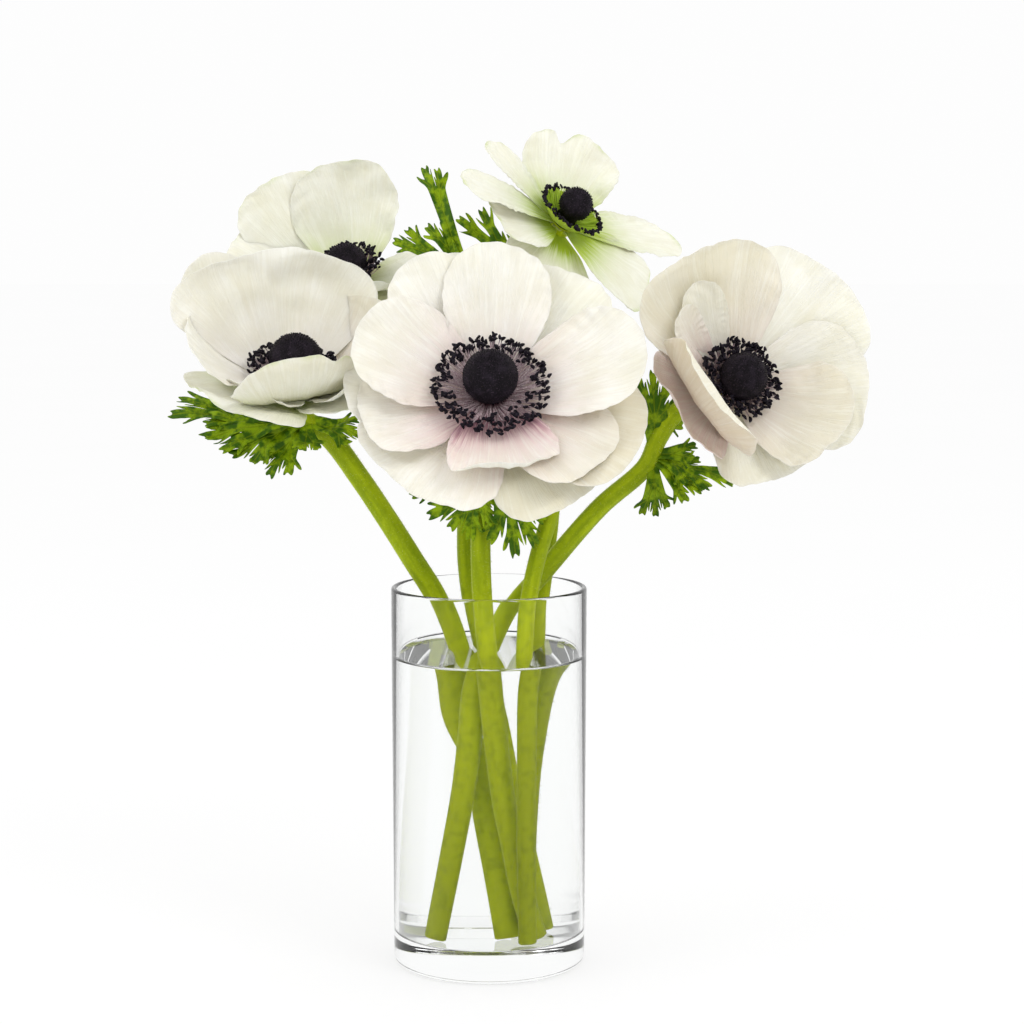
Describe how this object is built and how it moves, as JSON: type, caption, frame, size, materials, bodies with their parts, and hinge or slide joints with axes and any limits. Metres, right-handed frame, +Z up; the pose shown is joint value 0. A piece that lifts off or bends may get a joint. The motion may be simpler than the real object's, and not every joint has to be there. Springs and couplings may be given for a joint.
{
  "type": "anemones in a glass vase",
  "caption": "White anemones with dark centres and cut leaves, standing loose in water in a clear glass cylinder vase.",
  "frame": {"origin": "centre of the vase's foot, on the surface it stands on", "axes": "+Z up along the vase's axis, -Y towards the arrangement's front, +X to the right as seen from the front"},
  "size_m": [0.2721, 0.1553, 0.327],
  "materials": {
    "vase_glass": "polished clear",
    "vase_water": "clear, still",
    "stem_leaf": "satin, slightly hairy",
    "petal": "soft matte, finely veined",
    "bloom_centre": "matte, finely grained"
  },
  "bodies": {
    "root": {"vase": "vase_glass", "water": "vase_water", "stem_a": "stem_leaf", "stem_b": "stem_leaf", "stem_c": "stem_leaf", "stem_d": "stem_leaf", "stem_e": "stem_leaf", "stem_f": "stem_leaf", "petals_a": "petal", "centre_a": "bloom_centre", "petals_b": "petal", "centre_b": "bloom_centre", "petals_c": "petal", "centre_c": "bloom_centre", "petals_d": "petal", "centre_d": "bloom_centre", "petals_e": "petal", "centre_e": "bloom_centre"}
  },
  "joints": []
}
